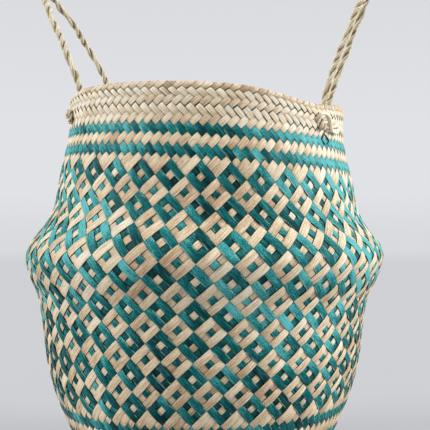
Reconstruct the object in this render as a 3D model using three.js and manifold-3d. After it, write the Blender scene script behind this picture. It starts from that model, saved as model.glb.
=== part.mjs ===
// Round plaited basket with a pushed-in neck, a doubled collar and two rope handles.
// Units are millimetres. +Z is up, -Y is the front and the origin is the centre of the flat underside.

import * as THREE from 'three';
import * as BufferGeometryUtils from 'three/addons/utils/BufferGeometryUtils.js';
import Module from 'manifold-3d';

const wasm = await Module();
wasm.setup();

// Outline of the plaited wall, as radius and height of its outer face, from the underside to the rim
const baseRadius = 92;
const heelRadius = 109;
const heelHeight = 8;
const cupRadius = 123;
const cupHeight = 25;
const lowRadius = 134.7;
const lowHeight = 48;
const flankRadius = 145.2;
const flankHeight = 75;
const sideRadius = 152.1;
const sideHeight = 103;
const waistRadius = 156.6;
const waistHeight = 139;
const flareRadius = 160.8;
const flareHeight = 162;
const underBellyRadius = 169.9;
const underBellyHeight = 183;
const bellyRadius = 174.2;
const bellyHeight = 200;
const overBellyRadius = 171.6;
const overBellyHeight = 210;
const shoulderRadius = 165.2;
const shoulderHeight = 220;
const hollowRadius = 154.6;
const hollowHeight = 234;
const throatRadius = 148.9;
const throatHeight = 247;
const neckRadius = 143.8;
const neckHeight = 274;
const collarRadius = 134.8;
const collarHeight = 325;
const rimHeight = 350;

// Walls and clearances
const wallThickness = 2.6;
const baseThickness = 2.5;
const collarPlyThickness = 1.8;
const collarInnerThickness = 2.2;
const collarDepth = 46;
const collarStep = 8;
const pieceGap = 0.3;

// The neck leans a little to the right, its rim drops to the right and sags between the front and the right
const neckShift = 3;
const shiftStart = 150;
const shiftEnd = 240;
const rimDropDegrees = 2.27;
const rimSag = 8.2;
const rimSagAzimuth = 45.5;
const rimSagSpread = 21.5;
const sagStart = 309;

// Rope handles
const ropeDiameter = 7;
const rightHandleAzimuth = 81.7;
const rightLegHalfAngle = 20.3;
const rightFrontSlant = 4.4;
const leftHandleAzimuth = -100;
const leftLegHalfAngle = 29;
const holeDrop = 21;
const holeClearance = 0.6;
const pivotLift = 6;
const archHeight = 115;
const archRoundness = 2;
const rightLean = 0.325;
const rightLeanGrowth = 0.065;
const leftLean = 0.382;
const leftLeanGrowth = 0.139;
const drillLength = 30;

// Stopper knots, loose ones at the right and small pulled ones at the left
const rightKnotRope = 6.4;
const rightKnotLoop = 6.2;
const rightKnotTail = 13;
const rightKnotHeap = 1.5;
const rightKnotShift = 7;
const leftKnotRope = 5.4;
const leftKnotLoop = 3.3;
const leftKnotTail = 6;
const leftKnotHeap = 1.1;
const leftKnotShift = 3;
const knotTailAngle = 12;
const rightKnot = {
  rope: rightKnotRope,
  loop: rightKnotLoop,
  tail: rightKnotTail,
  heap: rightKnotHeap,
  shift: rightKnotShift,
};
const leftKnot = {
  rope: leftKnotRope,
  loop: leftKnotLoop,
  tail: leftKnotTail,
  heap: leftKnotHeap,
  shift: leftKnotShift,
};

// Fineness of the faceted solids
const wallSides = 60;
const wallStep = 30;
const shoulderStep = 16;
const ropeSides = 10;
const archSteps = 44;

const ropeRadius = ropeDiameter / 2;
const rad = THREE.MathUtils.degToRad;

const outline = [
  [0, baseRadius],
  [heelHeight, heelRadius],
  [cupHeight, cupRadius],
  [lowHeight, lowRadius],
  [flankHeight, flankRadius],
  [sideHeight, sideRadius],
  [waistHeight, waistRadius],
  [flareHeight, flareRadius],
  [underBellyHeight, underBellyRadius],
  [bellyHeight, bellyRadius],
  [overBellyHeight, overBellyRadius],
  [shoulderHeight, shoulderRadius],
  [hollowHeight, hollowRadius],
  [throatHeight, throatRadius],
  [neckHeight, neckRadius],
  [collarHeight, collarRadius],
  [rimHeight, collarRadius],
];

// Slopes of the smooth outline at its points, kept level at a highest or lowest radius
const outlineSlopes = outline.map((point, i) => {
  if (i === 0 || i === outline.length - 1) {
    const j = i === 0 ? 0 : i - 1;
    return (outline[j + 1][1] - outline[j][1]) / (outline[j + 1][0] - outline[j][0]);
  }
  const before = point[0] - outline[i - 1][0];
  const after = outline[i + 1][0] - point[0];
  const slopeBefore = (point[1] - outline[i - 1][1]) / before;
  const slopeAfter = (outline[i + 1][1] - point[1]) / after;
  if (slopeBefore * slopeAfter <= 0) return 0;
  const a = 2 * after + before;
  const b = after + 2 * before;
  return (a + b) / (a / slopeBefore + b / slopeAfter);
});

function outerRadius(height) {
  const z = THREE.MathUtils.clamp(height, 0, rimHeight);
  let i = 0;
  while (i < outline.length - 2 && z > outline[i + 1][0]) i += 1;
  const span = outline[i + 1][0] - outline[i][0];
  const t = (z - outline[i][0]) / span;
  const rise = outlineSlopes[i] * span;
  const fall = outlineSlopes[i + 1] * span;
  const t2 = t * t;
  const t3 = t2 * t;
  return (2 * t3 - 3 * t2 + 1) * outline[i][1] + (t3 - 2 * t2 + t) * rise
    + (3 * t2 - 2 * t3) * outline[i + 1][1] + (t3 - t2) * fall;
}

// A point of the outline pushed in by a depth, square to the wall
function pushedIn(height, depth) {
  const step = 0.5;
  const low = Math.max(height - step, 0);
  const high = Math.min(height + step, rimHeight);
  const slope = (outerRadius(high) - outerRadius(low)) / (high - low);
  const length = Math.hypot(1, slope);
  return new THREE.Vector2(outerRadius(height) - depth / length, height + depth * slope / length);
}

// Moves a point of the upright basket to where the leaning neck carries it
function leaned(point) {
  const shift = THREE.MathUtils.smoothstep(point.z, shiftStart, shiftEnd) * neckShift;
  const drop = THREE.MathUtils.clamp((point.z - bellyHeight) / (rimHeight - bellyHeight), 0, 1.2);
  const fall = point.x * Math.tan(rad(rimDropDegrees)) * drop;
  return new THREE.Vector3(point.x + shift, point.y, point.z - fall);
}

// How far the collar sags at a point of the upright basket, all of it at the rim and none below the collar
function sagAt(point) {
  const azimuth = THREE.MathUtils.radToDeg(Math.atan2(point.x, -point.y));
  const near = Math.exp(-(((azimuth - rimSagAzimuth) / rimSagSpread) ** 2));
  return rimSag * near * THREE.MathUtils.clamp((point.z - sagStart) / (rimHeight - sagStart), 0, 1);
}

function leanGeometry(geometry) {
  const position = geometry.getAttribute('position');
  const point = new THREE.Vector3();
  for (let i = 0; i < position.count; i += 1) {
    point.fromBufferAttribute(position, i);
    const sag = sagAt(point);
    point.copy(leaned(point));
    position.setXYZ(i, point.x, point.y, point.z - sag);
  }
  return geometry;
}

function closed(geometry) {
  const bare = geometry.clone();
  bare.deleteAttribute('normal');
  bare.deleteAttribute('uv');
  return BufferGeometryUtils.mergeVertices(bare, 1e-4);
}

function solidOf(geometry) {
  const bare = closed(geometry);
  return new wasm.Manifold(new wasm.Mesh({
    numProp: 3,
    vertProperties: new Float32Array(bare.getAttribute('position').array),
    triVerts: new Uint32Array(bare.getIndex().array),
  }));
}

function geometryOf(solid) {
  const mesh = solid.getMesh();
  const geometry = new THREE.BufferGeometry();
  geometry.setAttribute('position', new THREE.BufferAttribute(new Float32Array(mesh.vertProperties), 3));
  geometry.setIndex(new THREE.BufferAttribute(new Uint32Array(mesh.triVerts), 1));
  geometry.computeVertexNormals();
  return geometry;
}

// Turns a closed section of radius and height about the basket's axis
function turned(section) {
  const ring = section.map((p) => new THREE.Vector2(p.x, p.y));
  if (section[0].x > 0) ring.push(ring[0].clone());
  const geometry = new THREE.LatheGeometry(ring, wallSides);
  geometry.rotateX(Math.PI / 2);
  return closed(geometry);
}

// Section of the wall between two heights, from the outline inwards
function wallSection(from, to, outerDepth, thickness, stepLength) {
  const heights = [from, ...outline.map((p) => p[0]).filter((z) => z > from + 3 && z < to - 3), to];
  const dense = [];
  heights.forEach((z, i) => {
    dense.push(z);
    if (i < heights.length - 1 && heights[i + 1] - z > stepLength) dense.push((z + heights[i + 1]) / 2);
  });
  const outer = dense.map((z) => pushedIn(z, outerDepth(z)));
  const inner = dense.map((z) => pushedIn(z, outerDepth(z) + thickness(z))).reverse();
  return [...outer, ...inner];
}

function tube(points, radius, steps, sides) {
  const curve = new THREE.CatmullRomCurve3(points, false, 'centripetal');
  const circle = new THREE.Shape();
  for (let i = 0; i < sides; i += 1) {
    const angle = (i / sides) * 2 * Math.PI;
    const x = radius * Math.cos(angle);
    const y = radius * Math.sin(angle);
    if (i === 0) circle.moveTo(x, y);
    else circle.lineTo(x, y);
  }
  circle.closePath();
  return new THREE.ExtrudeGeometry(circle, { steps, extrudePath: curve, bevelEnabled: false });
}

function ball(centre, radius) {
  const geometry = new THREE.SphereGeometry(radius, ropeSides, 6);
  geometry.translate(centre.x, centre.y, centre.z);
  return geometry;
}

const natural = { color: 0xd8c3a2, roughness: 0.8, metalness: 0 };
const dyed = { color: 0x2f7f86, roughness: 0.75, metalness: 0 };
const rope = { color: 0xc4b086, roughness: 0.85, metalness: 0 };

const basket = new THREE.Group();
const woven = new THREE.Group();
const rightHandle = new THREE.Group();
const leftHandle = new THREE.Group();
basket.add(woven, rightHandle, leftHandle);

function addMesh(group, name, geometry, look) {
  const mesh = new THREE.Mesh(geometry, new THREE.MeshStandardMaterial(look));
  mesh.name = name;
  group.add(mesh);
}

// Base mat, the flat plaited disc that the basket stands on
const heelSlope = (pushedIn(0, 1).x - pushedIn(0, 0).x) / (pushedIn(0, 1).y - pushedIn(0, 0).y);
const matEdge = baseRadius - pieceGap * 1.2;
addMesh(woven, 'base_mat', turned([
  new THREE.Vector2(0, 0),
  new THREE.Vector2(matEdge, 0),
  new THREE.Vector2(matEdge + heelSlope * baseThickness, baseThickness),
  new THREE.Vector2(0, baseThickness),
]), natural);

// Lower wall, from the base mat up to the fold of the belly
addMesh(woven, 'lower_wall', leanGeometry(turned(
  wallSection(0, bellyHeight, () => 0, () => wallThickness, wallStep),
)), dyed);

// Upper wall, from the fold of the belly over the pushed-in shoulder and up inside the collar
const collarBottom = rimHeight - collarDepth;
const plyInset = collarPlyThickness + pieceGap;
const intoCollar = (z) => THREE.MathUtils.clamp((z - collarBottom + collarStep) / collarStep, 0, 1);
const upperDepth = (z) => intoCollar(z) * plyInset;
const upperThickness = (z) => THREE.MathUtils.lerp(wallThickness, collarInnerThickness, intoCollar(z));
const upperTop = rimHeight - plyInset;
const neckTop = collarBottom - collarStep;
const lowPart = wallSection(bellyHeight + pieceGap, neckTop, upperDepth, upperThickness, shoulderStep);
const highPart = wallSection(collarBottom, upperTop, upperDepth, upperThickness, wallStep);
const half = lowPart.length / 2;
const upperSection = [...lowPart.slice(0, half), ...highPart, ...lowPart.slice(half)];
let upperWall = solidOf(leanGeometry(turned(upperSection)));

// Collar ply, the ends of the strips folded over the rim and laid down outside the neck
const plyOuter = [collarBottom, collarHeight, rimHeight].map((z) => pushedIn(z, 0));
const plyInnerHeights = [upperTop + pieceGap, collarHeight, collarBottom];
const plyInner = plyInnerHeights.map((z) => pushedIn(z, collarPlyThickness));
const rimInnerRadius = pushedIn(upperTop, plyInset + collarInnerThickness).x;
let collarPly = solidOf(leanGeometry(turned([
  ...plyOuter,
  new THREE.Vector2(rimInnerRadius, rimHeight),
  new THREE.Vector2(rimInnerRadius, upperTop + pieceGap),
  ...plyInner,
])));

// One leg of a handle: its bend over the rim, its hole a slant further round and the wall's frame there
const legRadius = rimInnerRadius - ropeRadius - pieceGap;
function outAt(azimuth) {
  return new THREE.Vector3(Math.sin(rad(azimuth)), -Math.cos(rad(azimuth)), 0);
}

function legAt(bendAzimuth, slant) {
  const out = outAt(bendAzimuth + slant);
  const bendOut = outAt(bendAzimuth);
  return {
    out,
    along: new THREE.Vector3(-out.y, out.x, 0),
    low: leaned(out.clone().multiplyScalar(legRadius).setZ(rimHeight - holeDrop)),
    high: leaned(bendOut.multiplyScalar(legRadius).setZ(rimHeight + pivotLift)),
    mouth: leaned(out.clone().multiplyScalar(collarRadius).setZ(rimHeight - holeDrop)),
  };
}

// Opens a round hole through both plies of the collar for a rope
function drillFor(leg) {
  const drillRadius = ropeRadius + holeClearance;
  const drill = new THREE.CylinderGeometry(drillRadius, drillRadius, drillLength, 16);
  const turn = new THREE.Quaternion().setFromUnitVectors(new THREE.Vector3(0, 1, 0), leg.out);
  drill.applyQuaternion(turn);
  drill.translate(leg.mouth.x, leg.mouth.y, leg.low.z);
  const cutter = solidOf(drill);
  upperWall = upperWall.subtract(cutter);
  collarPly = collarPly.subtract(cutter);
}

// Stopper knot outside the collar: the rope through its hole, one turn round itself beside the hole, a strand
// over and a cut tail
function knotGeometry(leg, tailSide, size) {
  const r = size.rope / 2;
  const up = new THREE.Vector3(0, 0, 1);
  const centre = leg.mouth.clone().setZ(leg.low.z);
  const at = (side, height, proud) => centre.clone()
    .addScaledVector(leg.along, side)
    .addScaledVector(up, height)
    .addScaledVector(leg.out, proud + outerRadius(rimHeight - holeDrop + height) - collarRadius);
  const seat = pieceGap + r + 0.6;
  const inner = legRadius + ropeRadius + pieceGap - collarRadius;
  const shift = tailSide * size.shift;
  let knot = solidOf(tube([at(0, 0, inner), at(0, 0, seat + r)], ropeRadius, 2, ropeSides));
  const loop = new THREE.TorusGeometry(size.loop, r, 8, 20);
  const face = new THREE.Quaternion().setFromUnitVectors(new THREE.Vector3(0, 0, 1), leg.out);
  loop.applyQuaternion(face);
  const loopCentre = at(shift, 0, seat);
  loop.translate(loopCentre.x, loopCentre.y, loopCentre.z);
  knot = knot.add(solidOf(loop));
  const reach = size.loop + r * 0.4;
  knot = knot.add(solidOf(tube([
    at(shift - tailSide * reach, size.loop * 0.4, seat),
    at(shift - tailSide * size.loop * 0.48, size.loop * 0.32, seat + r * size.heap),
    at(shift + tailSide * size.loop * 0.48, -size.loop * 0.24, seat + r * size.heap),
    at(shift + tailSide * reach, -size.loop * 0.48, seat),
  ], r, 8, ropeSides)));
  const slant = Math.sin(rad(knotTailAngle)) * tailSide;
  const tailSideways = shift + tailSide * size.loop * 0.32;
  const tailTop = -size.loop * 0.5;
  knot = knot.add(solidOf(tube([
    at(tailSideways, tailTop, seat + 0.4),
    at(tailSideways + slant * size.tail * 0.5, tailTop - size.tail * 0.5, seat + 0.2),
    at(tailSideways + slant * size.tail, tailTop - size.tail, seat),
  ], r * 0.92, 4, ropeSides)));
  return geometryOf(knot);
}

// Leg of rope that stands inside the collar, from its hole up to where the handle bends over the rim
function legGeometry(leg) {
  const down = leg.low.clone().sub(leg.high).normalize();
  const top = leg.high.clone().addScaledVector(down, ropeRadius + pieceGap);
  const straight = solidOf(tube([leg.low, top], ropeRadius, 2, ropeSides));
  return geometryOf(straight.add(solidOf(ball(leg.low, ropeRadius))));
}

// Bowed top of a handle, from one bend at the rim to the other, leaning outwards as it rises
function archGeometry(first, second, lean, leanGrowth) {
  const middle = first.high.clone().add(second.high).multiplyScalar(0.5);
  const chord = second.high.clone().sub(first.high).multiplyScalar(0.5);
  const outwards = new THREE.Vector3(chord.y, -chord.x, 0).normalize();
  const points = [];
  for (let i = 0; i <= archSteps; i += 1) {
    const t = (2 * i) / archSteps - 1;
    const side = Math.sign(t) * (1 - (1 - Math.abs(t)) ** 1.6);
    const height = archHeight * Math.max(0, 1 - side * side) ** (1 / archRoundness);
    points.push(middle.clone()
      .addScaledVector(chord, side)
      .addScaledVector(outwards, lean * height + leanGrowth * height * height / archHeight)
      .add(new THREE.Vector3(0, 0, height)));
  }
  return geometryOf(solidOf(tube(points, ropeRadius, archSteps, ropeSides))
    .add(solidOf(ball(first.high, ropeRadius)))
    .add(solidOf(ball(second.high, ropeRadius))));
}

// Right handle
const rightFront = legAt(rightHandleAzimuth - rightLegHalfAngle, -rightFrontSlant);
const rightRear = legAt(rightHandleAzimuth + rightLegHalfAngle, 0);
drillFor(rightFront);
drillFor(rightRear);
addMesh(rightHandle, 'right_front_leg', legGeometry(rightFront), rope);
addMesh(rightHandle, 'right_rear_leg', legGeometry(rightRear), rope);
addMesh(rightHandle, 'right_arch', archGeometry(rightFront, rightRear, rightLean, rightLeanGrowth), rope);
addMesh(rightHandle, 'right_front_knot', knotGeometry(rightFront, -1, rightKnot), rope);
addMesh(rightHandle, 'right_rear_knot', knotGeometry(rightRear, 1, rightKnot), rope);

// Left handle
const leftRear = legAt(leftHandleAzimuth - leftLegHalfAngle, 0);
const leftFront = legAt(leftHandleAzimuth + leftLegHalfAngle, 0);
drillFor(leftFront);
drillFor(leftRear);
addMesh(leftHandle, 'left_front_leg', legGeometry(leftFront), rope);
addMesh(leftHandle, 'left_rear_leg', legGeometry(leftRear), rope);
addMesh(leftHandle, 'left_arch', archGeometry(leftRear, leftFront, leftLean, leftLeanGrowth), rope);
addMesh(leftHandle, 'left_front_knot', knotGeometry(leftFront, 1, leftKnot), rope);
addMesh(leftHandle, 'left_rear_knot', knotGeometry(leftRear, -1, leftKnot), rope);

addMesh(woven, 'upper_wall', geometryOf(upperWall), dyed);
addMesh(woven, 'collar_ply', geometryOf(collarPly), natural);

export default basket;
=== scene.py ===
import math
from types import SimpleNamespace

import bmesh
import bpy
import numpy as np
from mathutils import Matrix, Vector


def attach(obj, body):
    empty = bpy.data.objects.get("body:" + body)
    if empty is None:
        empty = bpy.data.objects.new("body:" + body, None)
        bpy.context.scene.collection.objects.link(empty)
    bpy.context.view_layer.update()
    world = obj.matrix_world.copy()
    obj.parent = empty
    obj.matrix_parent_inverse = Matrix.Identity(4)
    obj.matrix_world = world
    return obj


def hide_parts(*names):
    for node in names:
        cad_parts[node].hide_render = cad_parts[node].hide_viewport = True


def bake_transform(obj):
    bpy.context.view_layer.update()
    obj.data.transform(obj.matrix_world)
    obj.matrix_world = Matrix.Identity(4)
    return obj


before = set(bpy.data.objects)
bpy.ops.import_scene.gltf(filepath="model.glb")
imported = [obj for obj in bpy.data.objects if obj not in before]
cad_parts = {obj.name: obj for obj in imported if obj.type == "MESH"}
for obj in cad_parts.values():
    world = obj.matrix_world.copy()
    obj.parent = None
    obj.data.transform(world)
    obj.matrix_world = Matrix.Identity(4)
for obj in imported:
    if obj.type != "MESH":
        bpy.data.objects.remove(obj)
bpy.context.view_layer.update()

# Shape of the plaited skin
# The basket is one skin of dried leaf strips. It starts flat under the base, turns up round the heel, swells
# to the fold of the belly, is pushed in over the shoulder, rises in the neck and folds over the rim, inside
# which it ends. Sizes are in mm. The outline is that of the outermost face, from the underside up.
base_radius = 92
heel_height = 25
collar_radius = 134.8
rim_height = 350.0
outline_height = np.array([0, 8, heel_height, 48, 75, 103, 139, 162, 183, 200, 210, 220, 234, 247, 274, 325,
                           rim_height])
outline_radius = np.array([base_radius, 109, 123, 134.7, 145.2, 152.1, 156.6, 160.8, 169.9, 174.2, 171.6,
                           165.2, 154.6, 148.9, 143.8, collar_radius, collar_radius])
# From the outermost face to the middle of the skin
skin_inset = 1.15
rim_fold_radius = 1.45
# How far the folded ends reach down inside the rim
inner_ply_depth = 46.0
# How far from the base's centre, along the skin, the heel is rounded off
heel_end = 140
# Above the belly the neck is shifted to the right and its rim drops to the right
neck_shift = 3
shift_start = 150
shift_height = 90
drop_start = 200
drop_height = 150
rim_drop = math.radians(2.27)
# Where the rim hangs down: how far, at what azimuth and over what spread, in mm and degrees. One place is
# between the front and the right, the other at the left handle.
rim_sags = ((8.2, 45.5, 21.5), (7.0, -85.0, 17.0))
sag_start = 309.0


def smooth_curve(knots, values):
    """A smooth curve through the knots that doesn't swing past them, as a function of an array."""
    step = np.diff(knots)
    wide_step = step if values.ndim == 1 else step[:, None]
    slope = np.diff(values, axis=0) / wide_step
    tangent = np.zeros_like(values)
    tangent[0] = slope[0]
    tangent[-1] = slope[-1]
    before, after = slope[:-1], slope[1:]
    near = 2 * wide_step[1:] + wide_step[:-1]
    far = wide_step[1:] + 2 * wide_step[:-1]
    same = before * after > 0
    safe_before, safe_after = np.where(same, before, 1), np.where(same, after, 1)
    tangent[1:-1] = np.where(same, (near + far) / (near / safe_before + far / safe_after), 0)

    def curve(at):
        at = np.clip(at, knots[0], knots[-1])
        i = np.clip(np.searchsorted(knots, at, side="right") - 1, 0, len(knots) - 2)
        h = step[i]
        t = (at - knots[i]) / h
        if values.ndim == 2:
            h, t = h[..., None], t[..., None]
        return ((2 * t**3 - 3 * t**2 + 1) * values[i] + (t**3 - 2 * t**2 + t) * h * tangent[i]
                + (3 * t**2 - 2 * t**3) * values[i + 1] + (t**3 - t**2) * h * tangent[i + 1])

    return curve


outer_radius = smooth_curve(outline_height, outline_radius)


def directions(radius, height):
    """How far outwards and how far upwards the profile runs at each of its points."""
    tangent = np.stack([np.gradient(radius), np.gradient(height)], 1)
    tangent /= np.linalg.norm(tangent, axis=1)[:, None]
    return tangent.T


def skin_profile():
    """Length, radius, height and outward normal along the skin's middle, from the base's centre on."""
    flat = np.linspace(0, base_radius, 60)[:-1]
    wall = np.linspace(0, rim_height - rim_fold_radius - 0.5, 700)
    radius = np.concatenate([flat, outer_radius(wall)])
    height = np.concatenate([flat * 0, wall])
    outwards, upwards = directions(radius, height)
    radius = radius - upwards * skin_inset
    height = height + outwards * skin_inset
    turn = np.linspace(0, math.pi, 12)[1:]
    fold_radius = radius[-1] - rim_fold_radius * (1 - np.cos(turn))
    fold_height = height[-1] + rim_fold_radius * np.sin(turn)
    down = np.linspace(0, inner_ply_depth, 60)[1:]
    radius = np.concatenate([radius, fold_radius, np.full(len(down), fold_radius[-1])])
    height = np.concatenate([height, fold_height, fold_height[-1] - down])
    length = np.concatenate([[0], np.cumsum(np.hypot(np.diff(radius), np.diff(height)))])
    even = np.linspace(0, length[-1], 1400)
    reach = 12
    round_off = np.exp(-0.5 * (np.arange(-reach, reach + 1) / 4.0) ** 2)
    round_off /= round_off.sum()
    rounded = []
    for course in (radius, height):
        course = np.interp(even, length, course)
        soft = np.convolve(np.pad(course, reach, mode="reflect", reflect_type="odd"), round_off, "valid")
        rounded.append(np.where(even < heel_end, soft, course))
    outwards, upwards = directions(*rounded)
    return even, *rounded, upwards, -outwards


profile_length, profile_radius, profile_height, normal_out, normal_up = skin_profile()
rim_start = profile_length[np.argmax(profile_height)] - rim_fold_radius * math.pi / 2
on_wall = (profile_length > base_radius + 1) & (profile_length <= rim_start)


def leaned(x, y, z):
    """Carries points of the upright basket along with its leaning neck and the drop of its rim."""
    pull = np.clip((z - shift_start) / shift_height, 0, 1)
    pull = pull * pull * (3 - 2 * pull)
    # the ropes above the rim drop a little further than the rim itself
    drop = np.clip((z - drop_start) / drop_height, 0, 1.2)
    return np.stack([x + neck_shift * pull, y, z - x * math.tan(rim_drop) * drop], -1)


def degrees_from(azimuth, centre):
    """How many degrees an azimuth in radians lies to the right of a centre in degrees, by the shorter way."""
    return (np.degrees(azimuth) - centre + 180) % 360 - 180


def skin_point(length, azimuth, lift):
    """A point of the skin: how far along its profile, at what azimuth, and how far lifted off its middle."""
    radius, height = (np.interp(length, profile_length, middle)
                      + lift * np.interp(length, profile_length, normal)
                      for middle, normal in ((profile_radius, normal_out), (profile_height, normal_up)))
    points = leaned(radius * np.sin(azimuth), -radius * np.cos(azimuth), height)
    share = np.clip((height - sag_start) / (rim_height - sag_start), 0, 1)
    for sag, sag_azimuth, spread in rim_sags:
        points[..., 2] -= sag * np.exp(-((degrees_from(azimuth, sag_azimuth) / spread) ** 2)) * share
    return points


# Course of the strips
# 54 strips cross another 54 under the base. Where they turn up the wall, each becomes one of 108 that rise to
# the right or 108 that rise to the left. Rows of crossings are counted in levels, from 0 at the rim to 72 at
# the heel, and negative inside the rim.
strips_each_way = 54
half_mat = strips_each_way / 2
strip_angle = 2 * math.pi / (2 * strips_each_way)
# The last level of the collar, of the rows of floats below it, of the diamonds, and of the dyed strips
collar_level = 9
rows_level = 16
diamonds_level = 63
dyed_level = 70
heel_level = 72
heel_length = float(np.interp(heel_height, profile_height[on_wall], profile_length[on_wall]))
# From this level on a strip runs over the rim and down inside it, where a level is so many mm long
rim_level = 0.4
rim_level_length = 3.9

# Heights of the rows at the front: at the rim, just below it, in the neck, under the fold, at the last
# diamonds and at the heel. Neighbouring rows are about 4.5 mm apart.
front_height = smooth_curve(np.array([rim_level, 2, 22, 40, 64, heel_level]),
                            np.array([348, 343.5, 254, 168.5, 62.5, heel_height]))
# The rows aren't level. These zones are the rim, the first diamonds, the shoulder, under the fold, the last
# diamonds and the heel. There a row lies so many mm higher at the right and lower at the left, and 0.74 times
# so many mm higher at both sides than at the front and back.
zones = np.array([rim_level, 16, 31, 46, 64, heel_level])
higher_right = smooth_curve(zones, np.array([0, -5.5, -9.5, -8, 2, 0]))
higher_sides = smooth_curve(zones, np.array([0, 4, 10, 14, 7, 0.0]))
# The strips lean, so a row is also turned to the right, in degrees: all round, more at the right and less at
# the left, and 0.74 times the last at both sides. The mat under the base is turned as far as the heel.
heel_turn = math.radians(1)
turned = smooth_curve(zones, np.radians([5.3, 4, 3.5, 3, 1.7, 1]))
turned_right = smooth_curve(zones, np.radians([2, 1.5, 0.5, 0, -0.5, 0]))
turned_sides = smooth_curve(zones, np.radians([-3, -3, -1.5, 0.3, 0.5, 0]))


def wall_place(level, angle):
    """Profile length and azimuth of a crossing on the wall, from its level and its angle round the basket."""
    sides = 0.37 * (1 - np.cos(2 * angle)) - 0.035 * (1 - np.cos(4 * angle))
    height = front_height(level) + higher_right(level) * np.sin(angle) + higher_sides(level) * sides
    azimuth = angle + turned(level) + turned_right(level) * np.sin(angle) + turned_sides(level) * sides
    up = np.interp(height, profile_height[on_wall], profile_length[on_wall])
    over = rim_start + (rim_level - level) * rim_level_length
    return np.where(level < rim_level, over, up), azimuth


def as_x_and_y(along, across, kind):
    """A place of a strip as x and y of the mat. Kind 0 strips run along x and kind 1 strips along y."""
    return np.where(kind == 0, along, across), np.where(kind == 0, across, along)


def quarter(x, y):
    """Which quarter of the mat a place lies in, counted leftwards from the front."""
    return np.where(x >= 0, np.where(y >= 0, 0, 3), np.where(y >= 0, 1, 2))


def turned_back(x, y, q):
    """A place of the mat turned back from its quarter to the first one."""
    return np.choose(q, [x, y, -x, -y]), np.choose(q, [y, -x, -y, x])


def mat_place(x, y, q):
    """Profile length and azimuth of a point of the mat, in strips from its centre along both directions.

    The quarter q is that of the strip's middle line, so that both edges of a strip go up the same way.
    """
    x1, y1 = turned_back(x, y, q)
    level = heel_level - (x1 + y1 - half_mat)
    angle = (-half_mat * q + (x1 - y1) / 2) * strip_angle
    angle = (angle + math.pi) % (2 * math.pi) - math.pi
    wall_length, wall_azimuth = wall_place(np.minimum(level, heel_level), angle)
    # the square mat is drawn in to the round base
    px, py = (np.sin(np.clip(v, -half_mat, half_mat) * math.pi / strips_each_way) for v in (x, y))
    base_length = np.hypot(px, py) * heel_length
    base_azimuth = math.pi / 4 - np.arctan2(py, px) + heel_turn
    under_base = x1 + y1 <= half_mat
    return np.where(under_base, base_length, wall_length), np.where(under_base, base_azimuth, wall_azimuth)


def rising_right_is_over(a, b):
    """Whether the strip that rises to the right lies on top where strips a and b cross on the wall."""
    level = a - b
    block = ((a - 1) // 3 - b // 3) % 2 == 1
    centre = (a % 3 == 2) & (b % 3 == 1)
    diamonds = np.where(block, ~centre, centre)
    rows_above = (level // 2) % 2 == 0
    rows_below = ((level - diamonds_level - 2) // 2) % 2 == 1
    below = np.where(level == diamonds_level + 1, True, rows_below)
    return np.where(level <= rows_level, rows_above, np.where(level <= diamonds_level, diamonds, below))


def crossing_lift(along, centre, kind):
    """+1 where a strip lies over the one that it crosses and -1 where it lies under, whether it rises to the
    right there, and the level.
    """
    x, y = as_x_and_y(np.floor(along) + 0.5, centre, kind)
    q = quarter(x, y)
    x1, y1 = turned_back(x, y, q)
    level = np.round(heel_level - (x1 + y1 - half_mat)).astype(int)
    a = np.round((heel_level + half_mat) / 2 - half_mat * q - y1).astype(int)
    b = np.round(-half_mat * q + x1 - (heel_level + half_mat) / 2).astype(int)
    rises_right = np.where(kind == 0, q % 2 == 0, q % 2 == 1)
    on_the_wall = np.where(rises_right == rising_right_is_over(a, b), 1.0, -1.0)
    twill = (np.floor(x) + np.floor(y)).astype(int) % 4 < 2
    under_base = np.where((kind == 0) == twill, 1.0, -1.0)
    return np.where(level > heel_level, under_base, on_the_wall), rises_right, level


# Leaf strips
# Each is a dried leaf strip about 7 mm wide and under 1 mm thick, flattened, lightly crowned and pressed
# against its neighbours. Those that rise to the left are dyed blue-green over the wall, the rest are left
# undyed. The weave alone holds them.
strip_width = 7
half_woven_width = 3.4
strip_thickness = 0.0006
# How far the middle of a float bows out, by how many crossings it spans
float_bow = np.array([0.0, 0.3, 0.7, 1.0, 1.1, 1.1])
# How far the middle of a strip lies off the middle of the skin where it is over, under and squeezed
over_lift = 0.55
under_lift = -0.95
squeezed_lift = 0.25
# Azimuths and heights of places round the ropes' holes that get painted shade, for the shade in the gaps
# there
painted_gap_shade_places = ((50.5, 329.0), (55.5, 330.0), (108.5, 329.0), (103.5, 330.0), (-67.0, 326.5), (-133.0, 326.5))
rng = np.random.default_rng(21)


def node(tree, kind, values=None, links=None, **settings):
    """Adds one shader node with its settings, socket values and links."""
    made = tree.nodes.new(kind)
    for name, value in settings.items():
        setattr(made, name, value)
    for name, value in (values or {}).items():
        made.inputs[name].default_value = value
    for name, source in (links or {}).items():
        tree.links.new(source, made.inputs[name])
    return made


def linear(hex_colour):
    """An sRGB hex colour as linear values for a shader."""
    parts = [int(hex_colour[i:i + 2], 16) / 255 for i in (1, 3, 5)]
    return tuple(c / 12.92 if c <= 0.04045 else ((c + 0.055) / 1.055) ** 2.4 for c in parts) + (1.0,)


def cleared_tree(owner):
    """The empty node tree of a material or a world."""
    owner.use_nodes = True
    owner.node_tree.nodes.clear()
    return owner.node_tree


def set_stops(ramp, *stops):
    """Gives a colour ramp its stops, each a position and a linear colour."""
    for i, (position, colour) in enumerate(stops):
        stop = ramp.elements[i] if i < 2 else ramp.elements.new(position)
        stop.position = position
        stop.color = colour


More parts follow.
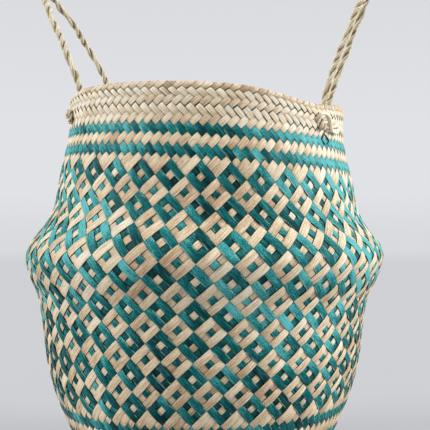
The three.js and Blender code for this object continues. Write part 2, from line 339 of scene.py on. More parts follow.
def leaf_material(name, pale, middle, dark, streak, edge, gap, roughness, gloss, bloom, paling):
    """A dried leaf strip: long fibres, a tone of its own in each float, and a satin skin.

    It has painted shade where a strip dives under another and along its edges, and its tone carries painted
    light and shade.
    """
    material = bpy.data.materials.new(name)
    tree = cleared_tree(material)
    place = node(tree, "ShaderNodeUVMap", uv_map="strip")
    coordinates = node(tree, "ShaderNodeTexCoord")
    # fibres about 1 mm apart across the strip and 20 mm long
    stretch = node(tree, "ShaderNodeMapping", {"Scale": (0.05, 1.0, 1.0)}, {"Vector": place.outputs["UV"]})
    fibre = node(tree, "ShaderNodeTexNoise", {"Scale": 1.0, "Detail": 5.0, "Roughness": 0.75},
                 {"Vector": stretch.outputs["Vector"]}, noise_dimensions="2D")
    # blotches about 11 mm long and 4 mm across, and pale or brown regions about 60 mm across
    blotch_place = node(tree, "ShaderNodeMapping", {"Scale": (0.09, 0.25, 1.0)},
                        {"Vector": place.outputs["UV"]})
    blotch = node(tree, "ShaderNodeTexNoise", {"Scale": 1.0, "Detail": 2.0},
                  {"Vector": blotch_place.outputs["Vector"]}, noise_dimensions="2D")
    region = node(tree, "ShaderNodeTexNoise", {"Scale": 16.0, "Detail": 1.0},
                  {"Vector": coordinates.outputs["Object"]})
    # pores and dust about 1 mm apart
    pores = node(tree, "ShaderNodeTexNoise", {"Scale": 0.95, "Detail": 1.0}, {"Vector": place.outputs["UV"]},
                 noise_dimensions="2D")
    # the float's own tone, with its painted light and shade, made uneven by all three
    shade = node(tree, "ShaderNodeAttribute", attribute_name="tone").outputs["Fac"]
    for pattern, weight in ((blotch, 0.45), (pores, 0.7), (region, 0.7)):
        part = node(tree, "ShaderNodeMath", {1: weight, 2: -weight / 2}, {0: pattern.outputs["Fac"]},
                    operation="MULTIPLY_ADD")
        shade = node(tree, "ShaderNodeMath", None, {0: shade, 1: part.outputs[0]}, operation="ADD").outputs[0]
    body = node(tree, "ShaderNodeValToRGB", None, {"Fac": shade})
    set_stops(body.color_ramp, (0.1, linear(dark)), (0.9, linear(pale)), (0.55, linear(middle)))
    # brown and pale lines along the fibres
    lines = node(tree, "ShaderNodeMapRange",
                 {"From Min": 0.5, "From Max": 0.62, "To Min": 0.0, "To Max": 0.5},
                 {"Value": fibre.outputs["Fac"]})
    pale_lines = node(tree, "ShaderNodeMapRange",
                      {"From Min": 0.46, "From Max": 0.36, "To Min": 0.0, "To Max": paling},
                      {"Value": fibre.outputs["Fac"]})
    # the edge of the strip, paler in some places
    side = node(tree, "ShaderNodeAttribute", attribute_name="side")
    outer = node(tree, "ShaderNodeMath", None, {0: side.outputs["Fac"]}, operation="ABSOLUTE")
    border = node(tree, "ShaderNodeMapRange", {"From Min": 0.78, "From Max": 0.9},
                  {"Value": outer.outputs[0]})
    some = node(tree, "ShaderNodeMapRange", {"From Min": 0.55, "From Max": 0.6, "To Max": 0.75},
                {"Value": blotch.outputs["Fac"]})
    edged = node(tree, "ShaderNodeMath", None, {0: border.outputs["Result"], 1: some.outputs["Result"]},
                 operation="MULTIPLY")
    # painted shade at the edge and in the dives
    deep = node(tree, "ShaderNodeAttribute", attribute_name="deep")
    crease = node(tree, "ShaderNodeAttribute", attribute_name="crease")
    line = node(tree, "ShaderNodeMapRange", {"From Min": 0.88, "From Max": 1.0},
                {"Value": outer.outputs[0], "To Max": crease.outputs["Fac"]})
    dark_place = node(tree, "ShaderNodeMath", None, {0: deep.outputs["Fac"], 1: line.outputs["Result"]},
                      operation="ADD", use_clamp=True)
    # painted shade, mostly on the side that faces out of the basket, under the strips that lie over it
    from_middle = node(tree, "ShaderNodeVectorMath", {1: (0, 0, 0.2)}, {0: coordinates.outputs["Object"]},
                       operation="SUBTRACT")
    facing = node(tree, "ShaderNodeVectorMath", None,
                  {0: coordinates.outputs["Normal"], 1: from_middle.outputs["Vector"]},
                  operation="DOT_PRODUCT")
    outside = node(tree, "ShaderNodeMapRange", {"From Min": -0.03, "From Max": 0.0, "To Min": 0.15},
                   {"Value": facing.outputs["Value"]})
    shaded = node(tree, "ShaderNodeMath", None, {0: dark_place.outputs[0], 1: outside.outputs["Result"]},
                  operation="MULTIPLY")
    colour = body.outputs["Color"]
    for laid_on, share in ((streak, lines.outputs["Result"]), (pale, pale_lines.outputs["Result"]),
                           (edge, edged.outputs[0]), (gap, shaded.outputs[0])):
        mixed = node(tree, "ShaderNodeMix", {7: linear(laid_on)}, {"Factor": share, 6: colour},
                     data_type="RGBA")
        colour = mixed.outputs[2]
    bump = node(tree, "ShaderNodeBump", {"Strength": 0.4, "Distance": 0.0005},
                {"Height": fibre.outputs["Fac"]})
    shader = node(tree, "ShaderNodeBsdfPrincipled",
                  {"Roughness": roughness, "Specular IOR Level": gloss, "Sheen Weight": bloom,
                   "Sheen Roughness": 0.3, "Sheen Tint": linear(edge)},
                  {"Base Color": colour, "Normal": bump.outputs["Normal"]})
    node(tree, "ShaderNodeOutputMaterial", None, {"Surface": shader.outputs["BSDF"]})
    return material


# Dried and flattened leaf: cream to straw with brown fibres, a dull satin skin
undyed_leaf = leaf_material("undyed_dried_leaf", pale="#F2E6D0", middle="#E5D0AF", dark="#B99A79",
                            streak="#90704E", edge="#F3E6CC", gap="#33241A", roughness=0.6, gloss=0.2,
                            bloom=0.0, paling=0.6)
# The same leaf, dyed: a deep blue-green that took unevenly, with paler edges and a dry bloom
dyed_leaf = leaf_material("blue_green_dyed_leaf", pale="#62C0C1", middle="#036D6E", dark="#002C2F",
                          streak="#01373A", edge="#A9CBBB", gap="#011112", roughness=0.5, gloss=0.08,
                          bloom=0.6, paling=0.35)


def floats(along, centre, kind):
    """For places along strips: over or under, how many crossings the float spans, how far from its middle."""
    signs = [crossing_lift(along + k, centre, kind)[0] for k in (-2, -1, 0, 1, 2)]
    back = np.where(signs[1] == signs[2], np.where(signs[0] == signs[2], 2, 1), 0)
    ahead = np.where(signs[3] == signs[2], np.where(signs[4] == signs[2], 2, 1), 0)
    span = 1 + back + ahead
    return signs[2], span, along - np.floor(along) - 0.5 + (back - ahead) / 2


def vertex_places(mesh):
    """Places of a mesh's vertices, one row for each."""
    flat = np.empty(len(mesh.vertices) * 3)
    mesh.vertices.foreach_get("co", flat)
    return flat.reshape(-1, 3)


def corner_vertices(mesh):
    """The vertex at each corner of the mesh's faces."""
    corner = np.empty(len(mesh.loops), dtype=int)
    mesh.loops.foreach_get("vertex_index", corner)
    return corner


def lay_uv(mesh, places):
    """Gives the mesh the map that the materials read, from one place in mm for each vertex."""
    uv = mesh.uv_layers.new(name="strip")
    uv.data.foreach_set("uv", places[corner_vertices(mesh)].ravel())


def in_scene(name, data):
    """A new object of the scene."""
    made = bpy.data.objects.new(name, data)
    bpy.context.scene.collection.objects.link(made)
    return made


def flat_strips(name, strips):
    """A mesh of flat grids, one for each strip: x is the place along it, y its side and z its number."""
    sheet = bmesh.new()
    for i, (_, _, first, last, _, _) in enumerate(strips):
        cells = int(round((last - first) * 3))
        place = Matrix.Translation(((first + last) / 2, 0, i))
        place = place @ Matrix.Diagonal(((last - first) / 2, 1, 1, 1))
        bmesh.ops.create_grid(sheet, x_segments=cells, y_segments=3, size=1, matrix=place, calc_uvs=False)
    mesh = bpy.data.meshes.new(name)
    sheet.to_mesh(mesh)
    sheet.free()
    return mesh


def places_in_weave(mesh, strips):
    """What each vertex of the flat strips has to know of its place in the weave."""
    at = SimpleNamespace(count=len(strips))
    at.along, at.side, number = vertex_places(mesh).T
    at.index = np.round(number).astype(int)
    kinds, centres, _, _, dyes, widths = (np.array(column) for column in zip(*strips))
    at.kind = kinds[at.index]
    at.centre = centres[at.index]
    at.dyed = dyes[at.index]
    at.width = widths[at.index]
    at.lift, at.span, at.place_in = floats(at.along, at.centre, at.kind)
    at.turning = at.span / 2 - np.abs(at.place_in) < 0.3
    # the outer two of the three places in each crossing are drawn apart, so that floats end crisply
    outwards = 0.08 * np.sign(np.round(at.along - np.floor(at.along) - 0.5, 3))
    at.along = at.along + outwards
    at.place_in = at.place_in + outwards
    at.end = np.abs(2 * at.place_in / at.span)
    _, rises_right, at.level = crossing_lift(at.along, at.centre, at.kind)
    at.blue = at.dyed & ~rises_right
    # a lone crossing between two floats of its own colour is squeezed and sunken
    beside = sum(crossing_lift(at.along, at.centre + way, at.kind)[0] for way in (-1, 1))
    alone = (at.lift > 0) & (at.span == 1)
    at.squeezed = alone & (beside > 1)
    at.lone = alone & (beside <= 1)
    return at


def woven_points(at, body_lift):
    """Where the vertices lie in the woven skin, in metres. Keeps their profile length and azimuth."""
    spread = np.where(at.lift > 0, 1.0 + 0.06 * (1 - at.end**2), 0.96)
    spread = np.where(at.squeezed, 0.9, np.where(at.lone, 0.88, spread))
    # a strip wanders a little in place and width along its length
    phase = rng.uniform(0, 2 * math.pi, (at.count, 4))[at.index]
    wander = np.sin(at.along * 0.31 + phase[:, 0]) * 0.6 + np.sin(at.along * 0.13 + phase[:, 1]) * 0.4
    narrowing = np.sin(at.along * 0.23 + phase[:, 2]) * 0.5 + np.sin(at.along * 0.57 + phase[:, 3]) * 0.5
    half_width = at.width / 2 * spread * (1 + 0.05 * narrowing)
    across = at.centre + at.side * half_width + 0.02 * wander
    q = quarter(*as_x_and_y(np.floor(at.along) + 0.5, at.centre, at.kind))
    at.length, at.azimuth = mat_place(*as_x_and_y(at.along, across, at.kind), q)
    crown = np.where(at.lift > 0, np.where(at.span == 2, 0.4, 0.3), 0.05) * (1 - at.side**2)
    rise = np.where(at.lift > 0, over_lift + float_bow[at.span] * (1 - at.end**2), under_lift) + crown
    rise = np.where(at.squeezed, squeezed_lift, rise) + body_lift
    return skin_point(at.length, at.azimuth, rise) / 1000


def float_tones(at):
    """What the leaf materials read at each vertex: tone, painted shade, side and painted shade at the edge.
    """
    # each float has its own tone, the same between two dives, and painted light makes it paler towards its
    # upper end
    cell = np.floor(at.along - at.place_in + 0.25).astype(int)
    of_strip = rng.normal(0, 0.1, at.count)[at.index]
    of_float = rng.normal(0, 1, (at.count, 240))[at.index, (cell + 120) % 240]
    upwards = at.place_in * np.sign(at.along) * 2 / at.span
    in_collar = at.level <= collar_level
    at_rim = at.level <= 1
    tone = 0.5 + of_strip + 0.1 * of_float + 0.14 * upwards + np.where(in_collar, 0.16, 0)
    # painted shade: the front of the neck, the lower part of the wall and the rim are darker
    neck_front_painted_shade = 0.36 * np.exp(-(((at.level - 22) / 7) ** 2)) * np.clip(np.cos(at.azimuth), 0, 1) ** 8
    tone = tone - neck_front_painted_shade - 0.17 * np.clip((at.level - 44) / 10, 0, 1) - np.where(at_rim, 0.28, 0)
    # painted light: dyed strips are paler towards both sides of the upper wall, and undyed strips at the
    # neck's sides
    sideways = np.abs(np.sin(at.azimuth))
    dyed_painted_side_light = 0.4 * sideways ** 1.5 * np.clip((56 - at.level) / 20, 0, 1) + 0.02 * of_float
    undyed_painted_side_light = 0.2 * sideways * np.clip((32 - at.level) / 12, 0, 1)
    tone = np.clip(tone + np.where(at.blue, dyed_painted_side_light, undyed_painted_side_light), 0, 1)
    # painted shade on squeezed crossings, most of all on the dyed ones
    shade = np.where(at.blue, 0.5, 0.12)
    deep = np.where(at.squeezed, 0.02 + shade * np.clip(of_float + 0.2, 0, 1.5), 0.0)
    # painted shade where a float ends and dives under, darker towards both sides in the neck
    dive = 0.06 + 0.34 * np.where(at.level <= 18, 1, 0) * np.clip(sideways * 1.4 - 0.2, 0, 1)
    deep = deep + np.where(at.turning, dive, 0)
    # painted shade on strips where they lie under others
    deep = np.where(at.lift < 0, 0.9, deep)
    # painted shade: most dyed strips under the collar's cover strips are painted nearly black and seen only
    # as dark lines
    hidden = at.blue & in_collar & (of_float < np.where(at_rim, -0.4, 0.6))
    deep = np.where(hidden, np.maximum(deep, 0.8), deep)
    # painted shade round the ropes' holes, fading out about 6 mm from each place
    upright_height = np.interp(at.length, profile_length, profile_height)
    for gap_azimuth, gap_height in painted_gap_shade_places:
        off = np.radians(degrees_from(at.azimuth, gap_azimuth)) * collar_radius
        away = np.hypot(off, upright_height - gap_height)
        deep = np.maximum(deep, 0.95 * np.clip(1.6 - away / 4, 0, 1))
    # painted shade along both edges of each strip, strongest in the collar and the rows below it
    crease = np.where(at.span == 2, 0.6, 0.3)
    crease = np.where(in_collar, 1.7, np.where(at.level <= rows_level, 0.9, crease))
    return {"tone": tone, "deep": deep, "side": at.side, "crease": crease}


def mark_sharp_edges(mesh, at):
    """Keeps the edges crisp along both sides of a strip and where a float ends."""
    pairs = np.empty(len(mesh.edges) * 2, dtype=int)
    mesh.edges.foreach_get("vertices", pairs)
    one, two = pairs.reshape(-1, 2).T
    at_side = (np.abs(at.side[one]) > 0.99) & (np.abs(at.side[one] - at.side[two]) < 0.01)
    at_end = (np.abs(at.along[one] - at.along[two]) < 0.01) & at.turning[one] & (at.lift[one] > 0)
    mesh.attributes.new("sharp_edge", "BOOLEAN", "EDGE").data.foreach_set("value", at_side | at_end)


def dye_faces(mesh, at):
    """Gives the faces their leaf: dyed where the strip rises to the left, between the rim and the heel."""
    start = np.empty(len(mesh.polygons), dtype=int)
    mesh.polygons.foreach_get("loop_start", start)
    of_face = corner_vertices(mesh)[start[:, None] + np.arange(4)]
    first = of_face[:, 0]
    _, rises_right, level = crossing_lift(at.along[of_face].mean(1), at.centre[first], at.kind[first])
    dyed = at.dyed[first] & ~rises_right & (level >= -1) & (level <= dyed_level)
    mesh.polygons.foreach_set("material_index", dyed.astype(np.int32))
    mesh.materials.append(undyed_leaf)
    mesh.materials.append(dyed_leaf)


def strip_piece(name, strips, body_lift=0.0):
    """One object of many strips. Each strip is its kind, its place across, its first and last place along,
    whether it is dyed where it rises to the left, and its width as a share of a full one.
    """
    mesh = flat_strips(name, strips)
    at = places_in_weave(mesh, strips)
    mesh.vertices.foreach_set("co", woven_points(at, body_lift).ravel())
    for kept, values in float_tones(at).items():
        mesh.attributes.new(kept, "FLOAT", "POINT").data.foreach_set("value", values.astype(np.float32))
    mark_sharp_edges(mesh, at)
    # each strip has its own part of the leaf pattern
    lay_uv(mesh, np.stack([at.along * strip_width + at.index * 37.3,
                           at.side * half_woven_width + at.index * 11.9], 1))
    dye_faces(mesh, at)
    mesh.polygons.foreach_set("use_smooth", np.ones(len(mesh.polygons), dtype=bool))
    piece = in_scene(name, mesh)
    solid = piece.modifiers.new("thickness", "SOLIDIFY")
    solid.thickness = strip_thickness
    solid.offset = 0
    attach(piece, "basket")
    return piece


# Each strip runs from its end inside the rim, 12 levels past it, to its other end at the far side
end_level = 12
strips_in_a_piece = 9
for kind, word in ((0, "across"), (1, "along")):
    for group in range(strips_each_way // strips_in_a_piece):
        strips = []
        for k in range(strips_in_a_piece):
            centre = -half_mat + 0.5 + group * strips_in_a_piece + k
            reach = math.floor(half_mat - abs(centre) + heel_level + end_level) + 0.5 + 1 / 3
            strips.append((kind, centre, -reach, reach, True, 1.0))
        piece = strip_piece(f"leaf_strips_{word}_{group + 1}", strips)
        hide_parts("base_mat", "lower_wall", "upper_wall", "collar_ply")

# Cover strips of the collar
# In the collar a short undyed leaf strip is laid over each dyed one and tucked under at both ends, which
# doubles the collar and leaves only slivers of the dyed strips to see.
# How far a cover lies off the strips under it in mm, and how far it is tucked under at each end in crossings
cover_lift = 0.4
cover_tuck = 5 / 6
for kind, word in ((0, "across"), (1, "along")):
    covers = []
    for k in range(strips_each_way):
        centre = -half_mat + 0.5 + k
        way = (1 if centre > 0 else -1) * (1 if kind == 1 else -1)
        for first_level in (-2, 2, 6):
            near = heel_level + half_mat - abs(centre) - (first_level + 1) - cover_tuck
            far = near + 1 + 2 * cover_tuck
            first, last = sorted((way * near, way * far))
            covers.append((kind, centre, first, last, False, rng.choice((0.82, 0.93, 1.02))))
    piece = strip_piece(f"collar_covers_{word}", covers, body_lift=cover_lift)
    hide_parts("collar_ply")

# Rope handles
# Each is one length of coarse rope, two plies of twisted plant fibre, 7 mm thick. It passes out through two
# holes in the collar and is stopped by a knot at each end. It stands stiffly and leans out above the rim.
rope_radius = 3.5
# Length of one turn of the plies
rope_lay = 29.0
# In the upright basket: radius of the legs inside the collar, height of the holes, height of the bends just
# above the rim, and how far the arch rises above its bends
leg_radius = 126.7
hole_height = 329.0
bend_height = 356.0
arch_height = 115.0
# Azimuths of the front and the rear hole of each rope. The right front leg slants, so its bend lies further
# back than its hole.
right_holes = (57.0, 102.0)
right_bends = (61.4, 102.0)
left_holes = (-71.0, -129.0)
# How far above the hole a leg's piece ends, and how far up and down the bend reaches
leg_piece_height = 13
bend_reach = 8


def rope_material(name, pale, middle, dark, gap, relief):
    """Twisted plant fibre: coarse fibres that run with the ply, painted shade where the plies meet, dull and
    dry.
    """
    material = bpy.data.materials.new(name)
    tree = cleared_tree(material)
    place = node(tree, "ShaderNodeUVMap", uv_map="strip")
    # fibres 0.7 mm thick and 11 mm long, laid at a slant round each ply
    slant = node(tree, "ShaderNodeMapping",
                 {"Scale": (0.09, 1.5, 1.0), "Rotation": (0, 0, math.radians(-14))},
                 {"Vector": place.outputs["UV"]})
    fibre = node(tree, "ShaderNodeTexNoise", {"Scale": 1.0, "Detail": 3.0, "Roughness": 0.6},
                 {"Vector": slant.outputs["Vector"]}, noise_dimensions="2D")
    body = node(tree, "ShaderNodeValToRGB", None, {"Fac": fibre.outputs["Fac"]})
    set_stops(body.color_ramp, (0.3, linear(dark)), (0.66, linear(pale)), (0.46, linear(middle)))
    # painted shade where the plies meet
    depth = node(tree, "ShaderNodeAttribute", attribute_name="tone")
    colour = node(tree, "ShaderNodeMix", {7: linear(gap)},
                  {"Factor": depth.outputs["Fac"], 6: body.outputs["Color"]}, data_type="RGBA")
    bump = node(tree, "ShaderNodeBump", {"Strength": relief, "Distance": 0.0006},
                {"Height": fibre.outputs["Fac"]})
    shader = node(tree, "ShaderNodeBsdfPrincipled", {"Roughness": 0.8, "Specular IOR Level": 0.25},
                  {"Base Color": colour.outputs[2], "Normal": bump.outputs["Normal"]})
    node(tree, "ShaderNodeOutputMaterial", None, {"Surface": shader.outputs["BSDF"]})
    return material


# Twisted plant fibre: straw-coloured and brownish, rough, with painted shade in the lines where the plies
# meet
rope_fibre = rope_material("two_ply_plant_fibre_rope", "#F2E8D2", "#D3C3A2", "#9E8C69", "#5C4C36", 0.5)
# The same fibre in the right knots: smoother and paler, with plies that are hardly told apart
knot_fibre = rope_material("worn_pale_rope_ends", "#FFF9EC", "#FBEFD9", "#DCC6A2", "#4A3824", 0.12)


def length_along(points):
    """Length of a line from its start to each of its points."""
    return np.concatenate([[0], np.cumsum(np.linalg.norm(np.diff(points, axis=0), axis=1))])


def evenly(points, step):
    """The smooth line through the points, as points a step apart."""
    points = np.array(points, float)
    knots = length_along(points)
    dense = smooth_curve(knots, points)(np.linspace(0, knots[-1], 40 * len(points)))
    length = length_along(dense)
    at = np.linspace(0, length[-1], int(round(length[-1] / step)) + 1)
    return np.stack([np.interp(at, length, dense[:, i]) for i in range(3)], 1)


def rope_frames(line):
    """The line's direction at each of its points, and two square to it that don't twist on the way."""
    tangent = np.gradient(line, axis=0)
    tangent /= np.linalg.norm(tangent, axis=1)[:, None]
    side = np.cross(tangent[0], (0.3, 0.2, 0.9))
    sides = []
    for t in tangent:
        side = side - t * (side @ t)
        side /= np.linalg.norm(side)
        sides.append(side)
    sides = np.array(sides)
    return tangent, sides, np.cross(tangent, sides)


def two_plies(name, rows):
    """A mesh of two flat grids, one for each ply, with the row as x, the way round as y and the ply as z."""
    sheet = bmesh.new()
    first, last = rows
    for ply in range(2):
        place = Matrix.Translation(((first + last) / 2, 0, ply))
        place = place @ Matrix.Diagonal(((last - first) / 2, 1, 1, 1))
        bmesh.ops.create_grid(sheet, x_segments=last - first, y_segments=10, size=1, matrix=place,
                              calc_uvs=False)
    mesh = bpy.data.meshes.new(name)
    sheet.to_mesh(mesh)
    sheet.free()
    return mesh


def close_tubes(mesh):
    """Joins the long edges of the rolled-up grids and turns their faces outwards."""
    sheet = bmesh.new()
    sheet.from_mesh(mesh)
    bmesh.ops.remove_doubles(sheet, verts=sheet.verts, dist=2e-6)
    bmesh.ops.recalc_face_normals(sheet, faces=sheet.faces)
    sheet.to_mesh(mesh)
    sheet.free()
    mesh.polygons.foreach_set("use_smooth", np.ones(len(mesh.polygons), dtype=bool))


def rope_piece(name, line, rows, radius=rope_radius, taper=(0, 0), lay=rope_lay, seed=1, finish=rope_fibre,
               parting=0.7):
    """Two-ply rope along a line from the first to the last of its rows, with rounded ends if tapered."""
    tangent, side, other = rope_frames(line)
    length = length_along(line)
    # the rope isn't quite straight
    line = line + side * (0.13 * radius * np.sin(length * 0.17 + seed))[:, None]
    line = line + other * (0.13 * radius * np.sin(length * 0.12 + 2 * seed))[:, None]
    mesh = two_plies(name, rows)
    row, way_round, ply = vertex_places(mesh).T
    row = np.round(row).astype(int)
    around = way_round * math.pi
    at = length[row]
    # each ply is thicker and thinner along its length
    phase = np.random.default_rng(seed).uniform(0, 6, 4)
    uneven = 1 + 0.07 * np.sin(at * 0.21 + phase[0]) + 0.1 * np.sin(at * 0.53 + phase[1] + ply * 2)
    uneven = uneven + 0.06 * np.sin(at * 1.3 + phase[3] + around * 2)
    close = np.ones(len(at))
    for amount, distance in ((taper[0], at - length[rows[0]]), (taper[1], length[rows[1]] - at)):
        if amount:
            close *= np.sqrt(np.clip(1 - (1 - np.clip(distance / amount, 0, 1)) ** 2, 0, 1))
    swing = at / lay * 2 * math.pi + ply * math.pi + 0.9 * np.sin(at * 0.11 + phase[2])
    out = np.cos(swing)[:, None] * side[row] + np.sin(swing)[:, None] * other[row]
    beside = np.cross(tangent[row], out)
    # the two plies touch in the middle of the rope and are pressed a little flat there
    spacing = radius * 0.47 * np.where(close < 1, np.maximum(close, 0.35), 1)
    thick = radius * 0.53 * uneven * close
    points = (line[row] + out * spacing[:, None] + out * (np.cos(around) * thick)[:, None]
              + beside * (np.sin(around) * thick * 1.16)[:, None])
    mesh.vertices.foreach_set("co", (points / 1000).ravel())
    # painted shade in the groove where the two plies meet, as strong as parting
    inner = np.clip((-np.cos(around) + 0.15) / 0.9, 0, 1) ** 1.5
    shade = (inner * parting).astype(np.float32)
    mesh.attributes.new("tone", "FLOAT", "POINT").data.foreach_set("value", shade)
    lay_uv(mesh, np.stack([at + ply * 57 + seed * 13, around * radius * 0.53 + seed * 7], 1))
    close_tubes(mesh)
    mesh.materials.append(finish)
    piece = in_scene(name, mesh)
    return piece


def outward(azimuth):
    """The direction straight out of the basket at an azimuth in degrees."""
    return np.array([math.sin(math.radians(azimuth)), -math.cos(math.radians(azimuth)), 0])


def at_neck(azimuth, radius, height):
    """A point of the leaning neck, from its azimuth, radius and height in the upright one."""
    out = outward(azimuth)
    return leaned(out[0] * radius, out[1] * radius, np.float64(height))


def handle_line(bends, holes, lean, growth):
    """Centre line of one handle from one hole, up its leg, over its arch and down to the other hole, with the
    places of both holes and both bends. The arch leans outwards by lean, and more towards its top by growth.
    """
    hole_places, bend_places, legs = [], [], []
    for bend_azimuth, hole_azimuth in zip(bends, holes):
        out = outward(hole_azimuth)
        hole = at_neck(hole_azimuth, leg_radius, hole_height)
        bend = at_neck(bend_azimuth, leg_radius, bend_height)
        up = (bend - hole) / np.linalg.norm(bend - hole)
        hole_places.append(hole)
        bend_places.append(bend)
        legs.append([hole + out * 8.5, hole + out * 3.0 + up * 0.4, hole + out * 0.7 + up * 2.6,
                     hole + up * 8.0, bend - up * 6.0])
    middle = (bend_places[0] + bend_places[1]) / 2
    chord = (bend_places[1] - bend_places[0]) / 2
    outwards = np.array([chord[1], -chord[0], 0])
    outwards /= np.linalg.norm(outwards)
    if outwards @ outward(sum(bends) / 2) < 0:
        outwards = -outwards
    arch = []
    for t in np.linspace(-1, 1, 61)[1:-1]:
        sideways = math.copysign(1 - (1 - abs(t)) ** 1.6, t)
        height = arch_height * math.sqrt(max(0, 1 - sideways**2))
        if height >= bend_reach:
            away = lean * height + growth * height**2 / arch_height
            arch.append(middle + chord * sideways + outwards * away + (0, 0, height))
    return evenly(legs[0] + arch + legs[1][::-1], 1.5), hole_places, bend_places


for hand, bends, holes, lean, growth, seed in (("right", right_bends, right_holes, 0.325, 0.065, 3),
                                               ("left", left_holes, left_holes, 0.382, 0.139, 5)):
    line, hole_places, bend_places = handle_line(bends, holes, lean, growth)
    half = len(line) // 2
    front_top, rear_top = (hole[2] + leg_piece_height for hole in hole_places)
    cut_front = int(np.argmin(np.abs(line[:half, 2] - front_top)))
    cut_rear = half + int(np.argmin(np.abs(line[half:, 2] - rear_top)))
    arch = rope_piece(f"{hand}_handle_arch", line, (cut_front, cut_rear), seed=seed)
    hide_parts(f"{hand}_arch")
    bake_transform(arch)
    last = len(line) - 1
    for which, hole, rows, tip in (("front", hole_places[0], (0, cut_front), line[0]),
                                   ("rear", hole_places[1], (cut_rear, last), line[-1])):
        leg = rope_piece(f"{hand}_{which}_rope_end", line, rows, seed=seed)
        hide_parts(f"{hand}_{which}_leg")
        out = tip - hole
        out /= np.linalg.norm(out)
        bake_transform(leg)

# Stopper knots
# An overhand knot in each rope end outside the collar, loose at the right and pulled small at the left, with
# a short cut end at the right. It holds the handle against the wall. The rope is thinner here than above.
loose_radius = 2.5
pulled_radius = 2.2
cut_end_radius = 3.1
# Each course is places along the wall away from the handle's middle, up from the hole and out from the wall
loose_knot = [(0, 0, -3.8), (3, -0.4, -2.0), (10, -2.6, -2.0), (18, -3.2, -1.2), (22.9, -1.8, 2.4),
              (21.8, 1.4, 4.0), (17.1, 3.4, 4.8), (11.9, 1.8, 5.4), (8.8, -2.7, 5.4), (6.8, -5.8, 4.8),
              (3.4, -9.2, 4.2), (-4.7, -9.8, 3.8), (-12.0, -6.2, 3.6), (-7.6, -3.0, 3.6), (-3.0, -5.4, 2.6),
              (2.0, -7.6, 1.0), (8.0, -9.2, 0.2)]
cut_end = [(12.0, -3.4, 0.4), (15.5, -5.6, 3.0), (18.5, -8.8, 4.2), (20.0, -11.4, 4.0)]
pulled_knot = [(0, 0, -3.8), (-1.5, 0.5, 0.4), (1, -3.5, 2.0), (5.5, -5.2, 2.6), (9.5, -1.5, 2.8),
               (7, 3.5, 3.0), (2, 5.0, 3.2), (-2.2, 2.4, 3.4), (0.5, -0.2, 4.0), (4.5, 0.6, 3.8)]


def outside_collar(course, azimuth, way, step):
    """The smooth line of a course outside the collar, to the left (1) or right (-1) of a hole's azimuth."""
    points = [at_neck(azimuth - way * math.degrees(along / collar_radius), collar_radius + proud,
                      hole_height + up) for along, up, proud in course]
    return evenly(points, step)


def knot_piece(name, node_name, line, **shape):
    """A rope piece along a whole line that stays with the basket and replaces one CAD node."""
    piece = rope_piece(name, line, (0, len(line) - 1), **shape)
    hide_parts(node_name)
    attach(piece, "basket")


for which, azimuth, way, seed in (("front", right_holes[0], 1, 11), ("rear", right_holes[1], -1, 12)):
    knot_piece(f"right_{which}_stopper_knot", f"right_{which}_knot",
               outside_collar(loose_knot, azimuth, way, 1.2), radius=loose_radius, taper=(0, loose_radius),
               lay=55, seed=seed, finish=knot_fibre, parting=0.2)
    knot_piece(f"right_{which}_knot_cut_end", f"right_{which}_knot",
               outside_collar(cut_end, azimuth, way, 1.0), radius=cut_end_radius, taper=(2, 2), lay=60,
               seed=seed + 10, parting=0.25)
for which, azimuth, way, seed in (("front", left_holes[0], -1, 13), ("rear", left_holes[1], 1, 14)):
    knot_piece(f"left_{which}_stopper_knot", f"left_{which}_knot",
               outside_collar(pulled_knot, azimuth, way, 1.2), radius=pulled_radius, taper=(0, pulled_radius),
               lay=14, seed=seed, parting=0.8)

# Folded strip end
# Below the right front knot the end of one dyed leaf strip, split narrow, stands out of the weave in a small
# folded loop. The weave holds it.
fold = [(12.4, -12.5, 0.4), (8.5, -16.0, 2.0), (5.5, -19.5, 2.4), (8.0, -22.0, 2.4), (11.7, -23.2, 2.2),
        (15.5, -21.5, 2.4), (17.0, -19.5, 2.2), (14.5, -15.5, 1.6), (12.8, -12.5, 0.4)]
knot_piece("folded_strip_end", "collar_ply", outside_collar(fold, right_holes[0], 1, 1.0), radius=0.75,
           lay=200, seed=4, finish=dyed_leaf, parting=0.5)

# Floor, light and camera
# A pale seamless paper floor and backdrop, wide soft lights from both sides, the right one stronger, and the
# camera at the photograph's height.
backdrop = "#E1E2E6"
floor_half_width = 15
floor_mesh = bpy.data.meshes.new("floor")
floor_sheet = bmesh.new()
bmesh.ops.create_grid(floor_sheet, x_segments=1, y_segments=1, size=floor_half_width)
floor_sheet.to_mesh(floor_mesh)
floor_sheet.free()
floor = in_scene("floor", floor_mesh)
# Matt paper under the basket that runs into the even light of the backdrop further off. It is brighter to the
# camera than the light that it throws on the basket.
floor_finish = bpy.data.materials.new("pale_paper_floor")
floor_tree = cleared_tree(floor_finish)
floor_paper = node(floor_tree, "ShaderNodeBsdfDiffuse", {"Color": linear("#ACACB1")})
floor_seen = node(floor_tree, "ShaderNodeLightPath")
floor_glow = node(floor_tree, "ShaderNodeMapRange", {"To Min": 0.7},
                  {"Value": floor_seen.outputs["Is Camera Ray"]})
floor_far = node(floor_tree, "ShaderNodeEmission", {"Color": linear(backdrop)},
                 {"Strength": floor_glow.outputs["Result"]})
floor_place = node(floor_tree, "ShaderNodeTexCoord")
floor_distance = node(floor_tree, "ShaderNodeVectorMath", None, {0: floor_place.outputs["Object"]},
                      operation="LENGTH")
floor_near = node(floor_tree, "ShaderNodeMath", {0: 1.0}, {1: floor_distance.outputs["Value"]},
                  operation="DIVIDE")
floor_blend = node(floor_tree, "ShaderNodeMapRange", {"From Min": 0.16, "From Max": 0.0, "To Min": 0.5},
                   {"Value": floor_near.outputs[0]})
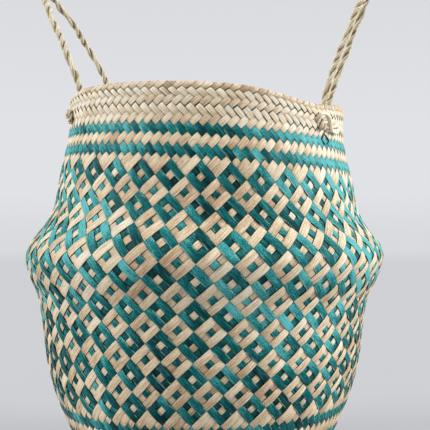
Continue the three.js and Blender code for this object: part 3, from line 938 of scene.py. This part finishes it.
floor_mix = node(floor_tree, "ShaderNodeMixShader", None,
                 {0: floor_blend.outputs["Result"], 1: floor_paper.outputs[0], 2: floor_far.outputs[0]})
node(floor_tree, "ShaderNodeOutputMaterial", None, {"Surface": floor_mix.outputs[0]})
floor_mesh.materials.append(floor_finish)

# The backdrop too is brighter to the camera than the light that it throws on the basket
world = bpy.data.worlds.new("studio")
bpy.context.scene.world = world
world_tree = cleared_tree(world)
world_ray = node(world_tree, "ShaderNodeLightPath")
world_place = node(world_tree, "ShaderNodeTexCoord")
world_up = node(world_tree, "ShaderNodeSeparateXYZ", None, {"Vector": world_place.outputs["Generated"]})
world_fall = node(world_tree, "ShaderNodeValToRGB", None, {"Fac": world_up.outputs["Z"]})
set_stops(world_fall.color_ramp, *((up, (strength, strength, strength, 1)) for up, strength in
                                   ((0.0, 0.925), (0.05, 1.0), (0.13, 1.0), (0.27, 0.94))))
world_seen = node(world_tree, "ShaderNodeBackground", {"Color": linear(backdrop)},
                  {"Strength": world_fall.outputs["Color"]})
world_thrown = node(world_tree, "ShaderNodeBackground", {"Color": linear("#F7F5F0"), "Strength": 0.52})
world_mix = node(world_tree, "ShaderNodeMixShader", None,
                 {0: world_ray.outputs["Is Camera Ray"], 1: world_thrown.outputs[0],
                  2: world_seen.outputs[0]})
node(world_tree, "ShaderNodeOutputWorld", None, {"Surface": world_mix.outputs[0]})
bpy.context.scene.view_settings.view_transform = "Standard"


def wide_light(name, azimuth, height, strength):
    """A far, wide, cool light from an azimuth (0 is the camera's side, 90 the right) and a height."""
    lamp = bpy.data.lights.new(name, "SUN")
    lamp.energy = strength
    lamp.angle = math.radians(35)
    lamp.color = (0.96, 0.988, 1.0)
    round_about, above = math.radians(azimuth), math.radians(height)
    level_part = math.cos(above)
    towards = Vector((math.sin(round_about) * level_part, -math.cos(round_about) * level_part,
                      math.sin(above)))
    in_scene(name, lamp).rotation_euler = towards.to_track_quat("Z", "Y").to_euler()


wide_light("light_right", 82, 23, 3.25)
wide_light("light_left", -76, 28, 2.45)

# The photograph is 430 pixels wide. The camera stands 840 mm off with a focal length of 840 of its pixels, so
# that one pixel is 1 mm at the basket's axis, and looks up by 21 pixels.
photo_pixels = 430
focal_pixels = 840
tilt_pixels = 21
camera_data = bpy.data.cameras.new("camera")
camera_data.sensor_width = 36
camera_data.lens = focal_pixels / photo_pixels * camera_data.sensor_width
camera = in_scene("camera", camera_data)
camera.location = (0.0117, -0.840, 0.220)
camera.rotation_euler = (math.radians(90) + math.atan(tilt_pixels / focal_pixels), 0, 0)
bpy.context.scene.camera = camera
